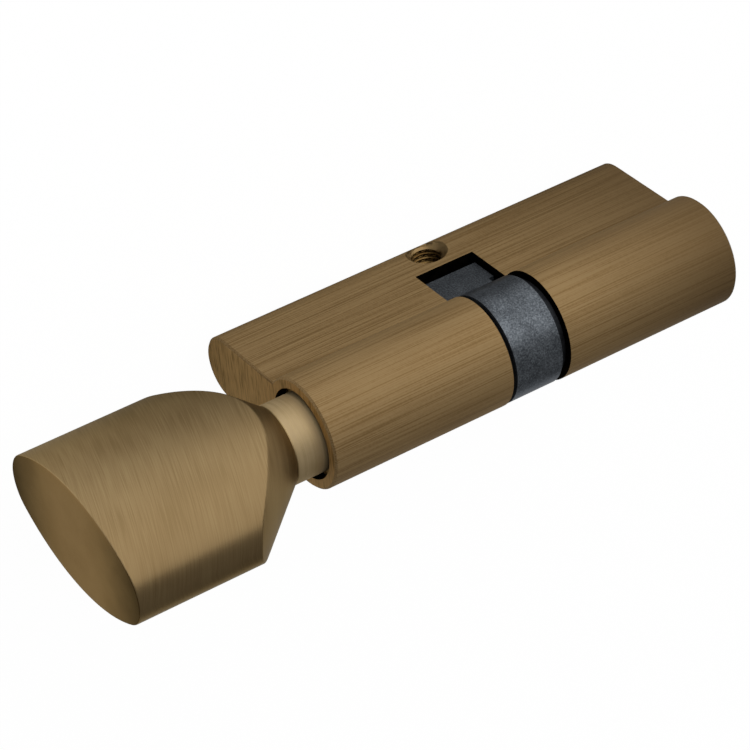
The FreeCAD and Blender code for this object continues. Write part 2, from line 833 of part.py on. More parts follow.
parts = [make_casing(), make_key_plug()]
for pin_number, pin_alias in enumerate(KEY_PIN_LENGTHS, start=1):
    pin_place, driver_bottom, *pins = make_pins(pin_number, cell(pin_alias))
    parts += pins
    parts.append(make_chamber_plug(pin_number, pin_place))
    parts.append(make_pin_spring(pin_number, pin_place, driver_bottom))
parts.append(make_circlip("plug_circlip", key_circlip_middle, cell("key_circlip_depth")))
parts.append(make_circlip("turn_circlip", -turn_circlip_middle, cell("turn_circlip_depth")))
parts.append(make_cam())
parts.append(make_coupling("key_coupling", key_coupling_back, key_coupling_front))
parts.append(make_coupling("turn_coupling", turn_coupling_front, -turn_coupling_back))
spindle, spring_bore_end = make_spindle()
parts.append(spindle)
parts.append(make_coupling_spring(spring_bore_end))
parts.append(make_knob())
parts.append(make_grub_screw())
document.recompute()

for item in document.Objects:
    if "Invalid" in item.State or "Error" in item.State:
        raise RuntimeError(f"{item.Label} failed: {item.State}")
for part in parts:
    if part.Shape.isNull() or not part.Shape.isValid():
        raise RuntimeError(f"{part.Label} has no valid shape")

os.makedirs("parts", exist_ok=True)
for part in parts:
    part.Shape.exportStep(f"parts/{part.Label}.step")
    print(part.Label, "volume", round(part.Shape.Volume, 2), "solids", len(part.Shape.Solids))
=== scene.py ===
import math

import bmesh
import bpy
from mathutils import Euler, Matrix, Vector


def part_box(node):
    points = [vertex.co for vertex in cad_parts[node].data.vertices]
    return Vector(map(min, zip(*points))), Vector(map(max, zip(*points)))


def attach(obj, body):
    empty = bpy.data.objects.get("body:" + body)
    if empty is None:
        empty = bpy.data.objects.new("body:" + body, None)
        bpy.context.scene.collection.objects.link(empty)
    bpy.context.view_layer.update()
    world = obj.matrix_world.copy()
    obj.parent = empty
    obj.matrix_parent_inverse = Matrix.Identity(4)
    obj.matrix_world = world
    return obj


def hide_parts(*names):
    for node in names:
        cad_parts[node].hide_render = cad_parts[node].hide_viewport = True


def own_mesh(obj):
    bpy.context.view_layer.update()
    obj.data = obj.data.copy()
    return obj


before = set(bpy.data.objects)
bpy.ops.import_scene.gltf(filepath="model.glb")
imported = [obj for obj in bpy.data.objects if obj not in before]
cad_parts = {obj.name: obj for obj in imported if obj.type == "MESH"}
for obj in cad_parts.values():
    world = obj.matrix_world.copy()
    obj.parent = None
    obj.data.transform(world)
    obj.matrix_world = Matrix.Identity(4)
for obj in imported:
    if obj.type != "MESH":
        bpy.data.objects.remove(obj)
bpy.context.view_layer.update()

MM = 0.001


# Casing: a bar of brass drawn to the keyhole section, slotted for the cam, bored and tapped.
# It is brushed lengthwise and then darkened to antique brass. The slot and the bores are nearly
# black: dark oxide where no brush reaches, and painted shade.

casing_low, casing_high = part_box("cylinder_body")
barrel_radius = casing_high.y
plug_axis_height = casing_high.z - barrel_radius
foot_radius = -casing_low.z
bore_reach = 8.385 * MM
slot_half_width = 5.01 * MM
slot_start = 3.69 * MM
end_depth = 0.5 * MM
thread_core = 2.05 * MM
thread_depth = 0.42 * MM
thread_pitch = 0.8 * MM
thread_crest_end = 0.07
thread_root_start = 0.44
thread_points_round = 97
thread_points_along = 161
seam_distance = 0.001 * MM
mouth_radius = 3.3 * MM
mouth_depth = 1.1 * MM
patina_rim = "#c0beb6"
# Painted shade brown, mixed into the casing near the key end and into the knob near its upper tip.
painted_shade_brown = "#5d482c"
merge_distance = 0.0005 * MM
flat_angle = math.radians(0.2)
sharp_angle = math.radians(30)
facing_fully = 0.99
facing_mostly = 0.9


def linear(hex_code):
    """A colour written as sRGB hex, in the linear values that a shader takes."""
    channels = [int(hex_code[i:i + 2], 16) / 255 for i in (1, 3, 5)]
    return [c / 12.92 if c <= 0.04045 else ((c + 0.055) / 1.055) ** 2.4 for c in channels] + [1.0]


def add(tree, kind, inputs=None, stops=(), **settings):
    """A node of a tree with its settings, and with a value or a link for each named input.

    The stops of a colour ramp are (place, hex) pairs. A Mix node takes at 0 the share that the
    second of its two has, the two at 2 and 3 where they are patterns, and at 6 and 7 where colours.
    """
    node = tree.nodes.new(kind)
    for name, value in settings.items():
        setattr(node, name, value)
    if stops:
        points = node.color_ramp.elements
        while len(points) < len(stops):
            points.new(0.5)
        for point, (place, hex_code) in zip(points, stops):
            point.position = place
            point.color = linear(hex_code)
    for name, value in (inputs or {}).items():
        if isinstance(value, bpy.types.NodeSocket):
            tree.links.new(value, node.inputs[name])
        else:
            node.inputs[name].default_value = value
    return node


def metal(name, roughness, rim="#ffffff", anisotropic=0.0, film=0.0):
    """A material with one metal shader, its tree, and the object's own coordinates.

    The rim colour is what the metal keeps of the light that grazes it, and the film is the share of
    the surface under a dull oxide, which scatters light as paint does.
    """
    material = bpy.data.materials.new(name)
    material.use_nodes = True
    tree = material.node_tree
    tree.nodes.clear()
    shader = add(tree, "ShaderNodeBsdfPrincipled", {
        "Metallic": 1.0 - film,
        "Roughness": roughness,
        "Specular IOR Level": 0.3,
        "Specular Tint": linear(rim),
        "Anisotropic": anisotropic,
        "Anisotropic Rotation": 0.25,
    })
    add(tree, "ShaderNodeOutputMaterial", {"Surface": shader.outputs["BSDF"]})
    place = add(tree, "ShaderNodeTexCoord").outputs["Object"]
    return material, tree, shader, place


def streaks(tree, place, along, across, detail=2.0, turned=(0.0, 0.0, 0.0)):
    """Noise drawn out along X, or along X turned: the real length and width of one streak."""
    scaled = add(tree, "ShaderNodeMapping", {
        "Vector": place,
        "Rotation": turned,
        "Scale": (along, across, across),
    }, vector_type="TEXTURE")
    noise = add(tree, "ShaderNodeTexNoise", {
        "Vector": scaled.outputs["Vector"],
        "Scale": 1.0,
        "Detail": detail,
        "Roughness": 0.6,
    })
    return noise.outputs["Fac"]


def grains(tree, place, width, detail=3.0):
    """Noise that is alike in every direction, with the real width of one grain."""
    return streaks(tree, place, width, width, detail)


def dress(tree, shader, colour, pattern, smooth, rough, bump_depth=0.0):
    """The shader takes a colour, a roughness that follows the pattern, and bump of a real depth.

    A noise pattern lies mostly between 0.3 and 0.7, so that range is spread over the roughness.
    """
    tree.links.new(colour, shader.inputs["Base Color"])
    spread = add(tree, "ShaderNodeMapRange", {
        "Value": pattern,
        "From Min": 0.3,
        "From Max": 0.7,
        "To Min": smooth,
        "To Max": rough,
    })
    tree.links.new(spread.outputs["Result"], shader.inputs["Roughness"])
    if bump_depth:
        bump = add(tree, "ShaderNodeBump", {"Height": pattern, "Distance": bump_depth})
        tree.links.new(bump.outputs["Normal"], shader.inputs["Normal"])


def brushed_along(tree, shader, direction):
    """The lines run along a direction of the object, so highlights are drawn out across them."""
    line = add(tree, "ShaderNodeCombineXYZ", dict(zip("XYZ", direction)))
    turned = add(tree, "ShaderNodeVectorTransform", {
        "Vector": line.outputs["Vector"],
    }, convert_from="OBJECT", convert_to="WORLD")
    tree.links.new(turned.outputs["Vector"], shader.inputs["Tangent"])


def brushed_antique_brass():
    """Brushed antique brass: fine lengthwise lines, light where the brush bit and brown between.

    The brush's own lines are finer, and are drawn wider here so that they show. Near the key end
    the colour is mixed with dark brown: painted shade.
    """
    material, tree, shader, place = metal("brushed_antique_brass", 0.5, patina_rim, 0.8, film=0.45)
    coarse = streaks(tree, place, 14 * MM, 0.5 * MM)
    fine = streaks(tree, place, 20 * MM, 0.15 * MM, 0.0)
    lines = add(tree, "ShaderNodeMix", {0: 0.94, 2: coarse, 3: fine}).outputs[0]
    grit = grains(tree, place, 0.4 * MM)
    gritty = add(tree, "ShaderNodeMix", {0: 0.25, 2: lines, 3: grit}).outputs[0]
    cloud = grains(tree, place, 12 * MM)
    tone = add(tree, "ShaderNodeMix", {0: 0.12, 2: gritty, 3: cloud}).outputs[0]
    brushed = add(tree, "ShaderNodeValToRGB", {"Fac": tone}, stops=[
        (0.36, "#8b6f46"), (0.48, "#9e8157"), (0.62, "#a88c61"),
    ]).outputs["Color"]
    # Painted shade: the colour fades to dark brown over the last part towards the key end.
    darker = add(tree, "ShaderNodeMapRange", {
        "Value": add(tree, "ShaderNodeSeparateXYZ", {"Vector": place}).outputs["X"],
        "From Min": 8 * MM,
        "From Max": casing_high.x,
        "To Min": 0.0,
        "To Max": 0.68,
    }).outputs["Result"]
    colour = add(tree, "ShaderNodeMix", {
        0: darker,
        6: brushed,
        7: linear(painted_shade_brown),
    }, data_type="RGBA").outputs[2]
    dress(tree, shader, colour, lines, 0.45, 0.55, 0.007 * MM)
    brushed_along(tree, shader, (1.0, 0.0, 0.0))
    return material


def milled_antique_brass():
    """Milled antique brass: the sawn end faces, with short cutter lines across them."""
    material, tree, shader, place = metal("milled_antique_brass", 0.6, patina_rim, film=0.5)
    crossways = (0.0, 0.0, math.radians(86))
    lines = streaks(tree, place, 4 * MM, 0.32 * MM, 1.0, turned=crossways)
    cloud = grains(tree, place, 5 * MM)
    tone = add(tree, "ShaderNodeMix", {0: 0.25, 2: lines, 3: cloud}).outputs[0]
    colour = add(tree, "ShaderNodeValToRGB", {"Fac": tone}, stops=[
        (0.34, "#92743f"), (0.48, "#b8945c"), (0.62, "#c6a168"),
    ]).outputs["Color"]
    dress(tree, shader, colour, lines, 0.55, 0.7, 0.012 * MM)
    return material


def recess_oxide_and_shade():
    """Recess brass: dull dark oxide where the brush never reached, with painted shade that makes it
    nearly black.
    """
    material, tree, shader, place = metal("recess_oxide_and_shade", 0.6, patina_rim)
    cloud = grains(tree, place, 1.2 * MM)
    # Painted shade: near-black colours, below the oxide's own, for the shade in the slot and bores.
    colour = add(tree, "ShaderNodeValToRGB", {"Fac": cloud}, stops=[
        (0.35, "#0a0907"), (0.65, "#1a1610"),
    ]).outputs["Color"]
    dress(tree, shader, colour, cloud, 0.5, 0.7)
    return material


def cut_brass(name, dark, light, rough):
    """Cut brass: a smooth tool-cut face, dark in its grooves and lit only where it faces a lamp."""
    material, tree, shader, place = metal(name, rough, patina_rim)
    cloud = grains(tree, place, 2 * MM)
    colour = add(tree, "ShaderNodeValToRGB", {"Fac": cloud}, stops=[
        (0.35, dark), (0.65, light),
    ]).outputs["Color"]
    dress(tree, shader, colour, cloud, rough * 0.85, rough * 1.15)
    return material


def place_piece(name, mesh):
    """A new object at the origin, with its place in its mesh."""
    piece = bpy.data.objects.new(name, mesh)
    bpy.context.scene.collection.objects.link(piece)
    return piece


def copy_of(node):
    """A new object with a merged copy of a node's mesh, its flat faces joined up."""
    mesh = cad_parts[node].data.copy()
    mesh.materials.clear()
    work = bmesh.new()
    work.from_mesh(mesh)
    bmesh.ops.remove_doubles(work, verts=work.verts, dist=merge_distance)
    bmesh.ops.dissolve_limit(work, angle_limit=flat_angle, verts=work.verts, edges=work.edges)
    work.to_mesh(mesh)
    work.free()
    return place_piece(f"{node}_shown", mesh)


def bake(piece):
    """The piece's evaluated shape becomes its plain mesh."""
    graph = bpy.context.evaluated_depsgraph_get()
    made = bpy.data.meshes.new_from_object(piece.evaluated_get(graph))
    piece.modifiers.clear()
    piece.data = made


def smooth(piece):
    """Round faces shade smoothly up to the sharp edges, and flat faces stay flat."""
    piece.data.shade_smooth()
    piece.data.set_sharp_from_angle(angle=sharp_angle)
    weigh = piece.modifiers.new("weigh", "WEIGHTED_NORMAL")
    weigh.keep_sharp = True
    bake(piece)


def cut_away(piece, cutter):
    """The cutter's solid is taken out of the piece, and the cutter goes."""
    knife = piece.modifiers.new("cut", "BOOLEAN")
    knife.operation = "DIFFERENCE"
    knife.solver = "EXACT"
    knife.object = cutter
    bake(piece)
    bpy.data.objects.remove(cutter)


def finish_piece(piece, body, slot, *nodes):
    """The piece stands for the nodes, which are hidden, and rides their body. The slot is not used."""
    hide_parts(*nodes)
    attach(piece, body)


def geometry_tree(name, *labels):
    """A geometry tree with named number inputs, the socket of each, and each one's identifier."""
    tree = bpy.data.node_groups.new(name, "GeometryNodeTree")
    tree.interface.new_socket("Geometry", in_out="INPUT", socket_type="NodeSocketGeometry")
    keys = {}
    for label in labels:
        socket = tree.interface.new_socket(label, in_out="INPUT", socket_type="NodeSocketFloat")
        keys[label] = socket.identifier
    tree.interface.new_socket("Geometry", in_out="OUTPUT", socket_type="NodeSocketGeometry")
    given = add(tree, "NodeGroupInput").outputs
    return tree, given, keys


def give_out(tree, geometry, material):
    """The tree's last nodes: plain geometry with its material."""
    plain = add(tree, "GeometryNodeRealizeInstances", {"Geometry": geometry})
    dressed = add(tree, "GeometryNodeSetMaterial", {
        "Geometry": plain.outputs["Geometry"],
        "Material": material,
    })
    add(tree, "NodeGroupOutput", {"Geometry": dressed.outputs["Geometry"]})


def grow(name, tree, keys, **values):
    """A new object whose mesh is what the geometry tree makes from these values."""
    piece = place_piece(name, bpy.data.meshes.new(name))
    growth = piece.modifiers.new("growth", "NODES")
    growth.node_group = tree
    for label, value in values.items():
        growth[keys[label]] = value
    bake(piece)
    return piece


def thread_tree(material):
    """The wall of a screw thread round the Y axis, open at both ends.

    The ridge goes from 0 on the crest to half a pitch in the root, and both are left a little flat.
    """
    tree, given, keys = geometry_tree("thread", "core", "depth", "pitch", "length")
    grid = add(tree, "GeometryNodeMeshGrid", {
        "Size X": math.tau,
        "Size Y": given["length"],
        "Vertices X": thread_points_round,
        "Vertices Y": thread_points_along,
    })
    here = add(tree, "GeometryNodeInputPosition").outputs["Position"]
    parts = add(tree, "ShaderNodeSeparateXYZ", {"Vector": here}).outputs
    angle, along = parts["X"], parts["Y"]
    turns = add(tree, "ShaderNodeMath", {0: along, 1: given["pitch"]}, operation="DIVIDE").outputs[0]
    turned = add(tree, "ShaderNodeMath", {0: angle, 1: math.tau}, operation="DIVIDE").outputs[0]
    phase = add(tree, "ShaderNodeMath", {0: turns, 1: turned}, operation="SUBTRACT").outputs[0]
    ridge = add(tree, "ShaderNodeMath", {0: phase, 1: 0.5}, operation="PINGPONG").outputs[0]
    cut = add(tree, "ShaderNodeMapRange", {
        "Value": ridge,
        "From Min": thread_crest_end,
        "From Max": thread_root_start,
        "To Min": 0.0,
        "To Max": given["depth"],
    }).outputs["Result"]
    radius = add(tree, "ShaderNodeMath", {0: given["core"], 1: cut}, operation="ADD").outputs[0]
    across = add(tree, "ShaderNodeMath", {0: angle}, operation="COSINE").outputs[0]
    up = add(tree, "ShaderNodeMath", {0: angle}, operation="SINE").outputs[0]
    spot = add(tree, "ShaderNodeCombineXYZ", {
        "X": add(tree, "ShaderNodeMath", {0: radius, 1: across}, operation="MULTIPLY").outputs[0],
        "Y": along,
        "Z": add(tree, "ShaderNodeMath", {0: radius, 1: up}, operation="MULTIPLY").outputs[0],
    })
    wall = add(tree, "GeometryNodeSetPosition", {
        "Geometry": grid.outputs["Mesh"],
        "Position": spot.outputs["Vector"],
    })
    closed = add(tree, "GeometryNodeMergeByDistance", {
        "Geometry": wall.outputs["Geometry"],
        "Distance": seam_distance,
    })
    give_out(tree, closed.outputs["Geometry"], material)
    return tree, keys


def close_ends(piece):
    """Both open ends of a tube get a flat face, and the faces point outwards."""
    work = bmesh.new()
    work.from_mesh(piece.data)
    bmesh.ops.holes_fill(work, edges=[edge for edge in work.edges if edge.is_boundary], sides=0)
    bmesh.ops.recalc_face_normals(work, faces=work.faces)
    work.to_mesh(piece.data)
    work.free()


def casing_finish(face):
    """Which of the casing's finishes a face wears: its place in the list of finishes."""
    centre, normal = face.center, face.normal
    from_screw = math.hypot(centre.x, centre.z)
    on_end = abs(centre.x) > casing_high.x - end_depth
    in_slot = abs(centre.x) < slot_half_width and from_screw > slot_start
    inward = centre.y * normal.y + (centre.z - plug_axis_height) * normal.z < 0
    in_bore = centre.z > plug_axis_height - bore_reach and inward
    if from_screw < mouth_radius and abs(normal.y) < facing_fully:
        in_mouth = abs(centre.y) > foot_radius - mouth_depth
        return casing_finishes.index(cut_mouth if in_mouth else shaded_cut_thread)
    if on_end and abs(normal.x) > facing_mostly:
        return casing_finishes.index(casing_ends)
    # The slot and bore faces get the recess finish: dark oxide with painted shade.
    if in_bore or in_slot and abs(normal.y) < facing_mostly:
        return casing_finishes.index(oxide_and_shade)
    return casing_finishes.index(casing_skin)


casing_skin = brushed_antique_brass()
casing_ends = milled_antique_brass()
oxide_and_shade = recess_oxide_and_shade()
# Painted shade: the thread's colours are kept below the countersink's, for the shade deep in the hole.
shaded_cut_thread = cut_brass("tapped_brass_shaded", "#5f4726", "#8d7145", 0.3)
cut_mouth = cut_brass("countersunk_brass", "#957a52", "#b3986c", 0.5)
casing_finishes = [casing_skin, casing_ends, oxide_and_shade, shaded_cut_thread, cut_mouth]
casing = copy_of("cylinder_body")
tap_tree, tap_keys = thread_tree(shaded_cut_thread)
tap_length = 2 * (foot_radius - mouth_depth / 2)
tap = grow(
    "tap", tap_tree, tap_keys,
    core=thread_core, depth=thread_depth, pitch=thread_pitch, length=tap_length,
)
close_ends(tap)
cut_away(casing, tap)
casing.data.materials.clear()
for finish in casing_finishes:
    casing.data.materials.append(finish)
for face in casing.data.polygons:
    face.material_index = casing_finish(face)
smooth(casing)
finish_piece(casing, "case", "antique_brass", "cylinder_body")


# Key plug: turned from brass bar, drilled for the five key pins, with its warded keyway broached
# through. It sits in the barrel's bore at the key end.

def turned_brass(name, light, dark, rough=0.35, film=0.0):
    """Turned brass: rings round the plug's axis, left by the lathe tool.

    The real ones are about 0.1 mm apart, and are drawn wider here so that they show.
    """
    material, tree, shader, place = metal(name, rough, patina_rim, film=film)
    rings = streaks(tree, place, 0.22 * MM, 60 * MM)
    cloud = grains(tree, place, 6 * MM)
    tone = add(tree, "ShaderNodeMix", {0: 0.4, 2: rings, 3: cloud}).outputs[0]
    colour = add(tree, "ShaderNodeValToRGB", {"Fac": tone}, stops=[
        (0.34, dark), (0.66, light),
    ]).outputs["Color"]
    dress(tree, shader, colour, rings, rough * 0.8, rough * 1.2, 0.006 * MM)
    return material


def refined(node, body, slot, material):
    """A node's merged copy in its material, with its round faces smooth."""
    piece = copy_of(node)
    piece.data.materials.append(material)
    smooth(piece)
    finish_piece(piece, body, slot, node)


lathe_brass = turned_brass("turned_brass", "#b9965c", "#8f6f3f")
refined("key_plug", "case", "turned_brass", lathe_brass)


# Pin stacks: a bright key pin over a driver pin in each chamber, on a spring of drawn wire that
# stands on the brass plug pressed into the foot.

pin_count = 5
pin_wire_radius = 0.2 * MM
pin_spring_turns = 7
closed_pitch = 2.05
coil_points = 260
wire_sides = 10


def drawn_steel():
    """Drawn spring steel: smooth grey wire with a slight blue in its sheen."""
    material, tree, shader, place = metal("spring_steel", 0.3)
    cloud = grains(tree, place, 2 * MM)
    colour = add(tree, "ShaderNodeValToRGB", {"Fac": cloud}, stops=[
        (0.35, "#7d8085"), (0.65, "#9a9ca0"),
    ]).outputs["Color"]
    dress(tree, shader, colour, cloud, 0.25, 0.36)
    return material


def spring_tree(material):
    """A coil along Z from its foot: a closed turn at each end, and open ones between.

    The closed turns rise by a little more than the wire's thickness.
    """
    tree, given, keys = geometry_tree("spring", "radius", "wire", "length", "turns")
    line = add(tree, "GeometryNodeCurvePrimitiveLine", {"End": (0.0, 0.0, 1.0)})
    dotted = add(tree, "GeometryNodeResampleCurve", {
        "Curve": line.outputs["Curve"],
        "Count": coil_points,
    })
    way = add(tree, "GeometryNodeSplineParameter").outputs["Factor"]
    turn = add(tree, "ShaderNodeMath", {0: way, 1: given["turns"]}, operation="MULTIPLY").outputs[0]
    angle = add(tree, "ShaderNodeMath", {0: turn, 1: math.tau}, operation="MULTIPLY").outputs[0]
    closed = add(tree, "ShaderNodeMath", {
        0: given["wire"],
        1: closed_pitch,
    }, operation="MULTIPLY").outputs[0]
    both_closed = add(tree, "ShaderNodeMath", {0: closed, 1: 2.0}, operation="MULTIPLY").outputs[0]
    open_length = add(tree, "ShaderNodeMath", {
        0: given["length"],
        1: both_closed,
    }, operation="SUBTRACT").outputs[0]
    last = add(tree, "ShaderNodeMath", {0: given["turns"], 1: 1.0}, operation="SUBTRACT").outputs[0]
    stages = [(0.0, 1.0, closed), (1.0, last, open_length), (last, given["turns"], closed)]
    rise = 0.0
    for start, end, height in stages:
        climb = add(tree, "ShaderNodeMapRange", {
            "Value": turn,
            "From Min": start,
            "From Max": end,
            "To Min": 0.0,
            "To Max": height,
        }).outputs["Result"]
        rise = add(tree, "ShaderNodeMath", {0: rise, 1: climb}, operation="ADD").outputs[0]
    across = add(tree, "ShaderNodeMath", {0: angle}, operation="COSINE").outputs[0]
    over = add(tree, "ShaderNodeMath", {0: angle}, operation="SINE").outputs[0]
    radius = given["radius"]
    spot = add(tree, "ShaderNodeCombineXYZ", {
        "X": add(tree, "ShaderNodeMath", {0: radius, 1: across}, operation="MULTIPLY").outputs[0],
        "Y": add(tree, "ShaderNodeMath", {0: radius, 1: over}, operation="MULTIPLY").outputs[0],
        "Z": rise,
    })
    coil = add(tree, "GeometryNodeSetPosition", {
        "Geometry": dotted.outputs["Curve"],
        "Position": spot.outputs["Vector"],
    })
    section = add(tree, "GeometryNodeCurvePrimitiveCircle", {
        "Resolution": wire_sides,
        "Radius": given["wire"],
    })
    wire = add(tree, "GeometryNodeCurveToMesh", {
        "Curve": coil.outputs["Geometry"],
        "Profile Curve": section.outputs["Curve"],
        "Fill Caps": True,
    })
    give_out(tree, wire.outputs["Mesh"], material)
    return tree, keys


def grow_spring(node, tree, keys, wire, turns, axis="Z"):
    """A coil that fills a node's box along its axis, with its wire inside that box."""
    low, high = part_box(node)
    ends = (low.x, high.x) if axis == "X" else (low.z, high.z)
    radius = (high.y - low.y) / 2 - wire
    length = ends[1] - ends[0] - 2 * wire
    coil = grow(f"{node}_shown", tree, keys, radius=radius, wire=wire, length=length, turns=turns)
    middle = (low + high) / 2
    if axis == "X":
        foot = Vector((low.x + wire, middle.y, middle.z))
        coil.data.transform(Matrix.Translation(foot) @ Matrix.Rotation(math.pi / 2, 4, "Y"))
    else:
        coil.data.transform(Matrix.Translation((middle.x, middle.y, low.z + wire)))
    coil.data.shade_smooth()
    return coil, ends


pin_metal = turned_brass("pin_brass", "#d6b36a", "#b48f4a")
coil_tree, coil_keys = spring_tree(drawn_steel())
for number in range(1, pin_count + 1):
    stack = f"pin_stack_{number}"
    refined(f"key_pin_{number}", stack, "pin_brass", pin_metal)
    refined(f"driver_pin_{number}", stack, "pin_brass", pin_metal)
    refined(f"chamber_plug_{number}", "case", "antique_brass", casing_skin)
    spring, (foot, top) = grow_spring(
        f"pin_spring_{number}", coil_tree, coil_keys, pin_wire_radius, pin_spring_turns,
    )
    finish_piece(spring, "case", "spring_steel", f"pin_spring_{number}")
    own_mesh(spring)


# Circlips: stamped from spring steel and phosphated, one at the inner end of the plug and one on
# the spindle. The plug's shows as a dark line beside the cam.

def phosphated_steel():
    """Phosphated spring steel: a fine dark grey crust that is nearly matt."""
    material, tree, shader, place = metal("phosphated_steel", 0.5)
    cloud = grains(tree, place, 0.6 * MM)
    colour = add(tree, "ShaderNodeValToRGB", {"Fac": cloud}, stops=[
        (0.35, "#26272a"), (0.65, "#37393c"),
    ]).outputs["Color"]
    dress(tree, shader, colour, cloud, 0.45, 0.6)
    return material


clip_metal = phosphated_steel()
refined("plug_circlip", "case", "spring_steel", clip_metal)
refined("turn_circlip", "thumbturn", "spring_steel", clip_metal)


# Couplings: ground steel dogs on a hub, and the coil that pushes the turn side's into the cam.
# They slide along the plug's axis, and join one end or the other to the cam.

push_wire_radius = 0.25 * MM
push_spring_turns = 8


def ground_steel():
    """Hardened steel, ground: grey and fairly bright, with faint cross lines."""
    material, tree, shader, place = metal("hardened_steel", 0.3)
    lines = streaks(tree, place, 0.1 * MM, 8 * MM)
    colour = add(tree, "ShaderNodeValToRGB", {"Fac": lines}, stops=[
        (0.35, "#7a7b7e"), (0.65, "#95979a"),
    ]).outputs["Color"]
    dress(tree, shader, colour, lines, 0.25, 0.4, 0.003 * MM)
    return material


dog_metal = ground_steel()
refined("key_coupling", "key_coupling", "hardened_steel", dog_metal)
refined("turn_coupling", "turn_coupling", "hardened_steel", dog_metal)
push_spring, (push_foot, push_top) = grow_spring(
    "coupling_spring", coil_tree, coil_keys, push_wire_radius, push_spring_turns, "X",
)
finish_piece(push_spring, "thumbturn", "spring_steel", "coupling_spring")
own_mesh(push_spring)


# Cam: pressed from iron powder and sintered, so its faces are dull and finely speckled. It turns
# in the casing's slot, and its lever throws the bolt of the lock.

def sintered_steel():
    """Sintered steel: dark grey, dull, with the fine speckle of pressed powder.

    The powder's grains are about 0.1 mm wide, and are drawn wider here so that they show.
    """
    material, tree, shader, place = metal("sintered_steel", 0.5, "#a8aaae", film=0.3)
    speckle = grains(tree, place, 0.25 * MM)
    cloud = grains(tree, place, 3 * MM)
    tone = add(tree, "ShaderNodeMix", {0: 0.3, 2: speckle, 3: cloud}).outputs[0]
    colour = add(tree, "ShaderNodeValToRGB", {"Fac": tone}, stops=[
        (0.37, "#45494e"), (0.5, "#5f6469"), (0.63, "#7e848a"),
    ]).outputs["Color"]
    dress(tree, shader, colour, tone, 0.32, 0.4, 0.012 * MM)
    return material


refined("cam", "cam", "sintered_steel", sintered_steel())


# Spindle: turned from brass bar, with the collar that shows in the mouth of the casing round the
# neck. It runs in the barrel's bore at the knob's end and carries the knob on its stub.

refined("turn_spindle", "thumbturn", "turned_brass", lathe_brass)


# Knob: a lens-shaped bar of brass on a round neck, with a cone turned between them. The cone meets
# the broad faces in a curved ridge that runs round to the tips, and a grub screw holds the knob on
# the spindle.

knob_low, knob_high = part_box("thumbturn_knob")
knob_seat = knob_high.x
knob_end = knob_low.x
knob_start = casing_low.x - 4.55 * MM
stub_bore_end = casing_low.x - 15.1 * MM
stub_bore_radius = 4.05 * MM
neck_radius = 6.0 * MM
neck_edge = 0.15 * MM
cone_length = 12.65 * MM
half_width = 16.6 * MM
half_thickness = 8.8 * MM
side_radius = 26.1 * MM
knob_tilt = math.radians(6.3)
ridge_radius = 0.5 * MM
end_edge = 0.25 * MM
side_offset = side_radius - half_thickness
tip_space = side_radius - half_width
tip_radius = (side_radius ** 2 - side_offset ** 2 - half_width ** 2) / tip_space / 2
tip_offset = half_width - tip_radius
arc_lean = math.atan2(tip_offset, side_offset)
cone_rise = (half_width - neck_radius) / cone_length
cone_angle = math.atan(cone_rise)
knob_points_round = 288
cone_steps = 12
ridge_steps = 4
side_steps = 8
edge_steps = 6
end_steps = 6
line_lean = math.radians(106.7)
line_direction = (-0.287, 0.0, 0.958)
grub_hole_radius = 1.65 * MM
grub_hole_sides = 64
grub_hole_depth = 6 * MM
grub_hole_middle = 6.8 * MM


def lens_radius(angle):
    """From the axis to the lens outline: 0 is the middle of a broad face, a quarter turn a tip."""
    across, up = abs(math.cos(angle)), abs(math.sin(angle))
    side = math.sqrt((side_offset * across) ** 2 + side_radius ** 2 - side_offset ** 2)
    side -= side_offset * across
    if math.atan2(side * up, side * across + side_offset) <= arc_lean:
        return side
    rise = tip_offset * up
    return rise + math.sqrt(rise ** 2 + tip_radius ** 2 - tip_offset ** 2)


def knob_profile(angle):
    """One section of the knob from its bore to the middle of its end, as (x, radius) and finish."""
    wall = lens_radius(angle)
    ridge = knob_start - (wall - neck_radius) / cone_rise
    bend = ridge_radius * math.tan(cone_angle / 2)
    cone_end = Vector((ridge + bend * math.cos(cone_angle), wall - bend * math.sin(cone_angle)))
    cone_foot = Vector((knob_start, neck_radius))
    points = [
        (stub_bore_end, stub_bore_radius, "bore"),
        (knob_seat, stub_bore_radius, "bore"),
        (knob_seat, neck_radius - neck_edge, "neck"),
        (knob_seat - neck_edge, neck_radius, "neck"),
        (knob_start + neck_edge, neck_radius, "neck"),
        (knob_start, neck_radius, "body"),
    ]
    for step in range(1, cone_steps):
        spot = cone_foot.lerp(cone_end, step / cone_steps)
        points.append((spot.x, spot.y, "body"))
    for step in range(ridge_steps + 1):
        lean = cone_angle * (1 - step / ridge_steps)
        x = ridge - bend + ridge_radius * math.sin(lean)
        points.append((x, wall - ridge_radius + ridge_radius * math.cos(lean), "body"))
    side_start = ridge - bend
    side_end = knob_end + end_edge
    for step in range(1, side_steps):
        points.append((side_start + (side_end - side_start) * step / side_steps, wall, "body"))
    for step in range(edge_steps + 1):
        lean = math.pi / 2 * step / edge_steps
        x = knob_end + end_edge * (1 - math.sin(lean))
        finish = "end" if step > edge_steps / 2 else "body"
        points.append((x, wall - end_edge * (1 - math.cos(lean)), finish))
    for step in range(1, end_steps):
        points.append((knob_end, (wall - end_edge) * (1 - step / end_steps), "end"))
    return points


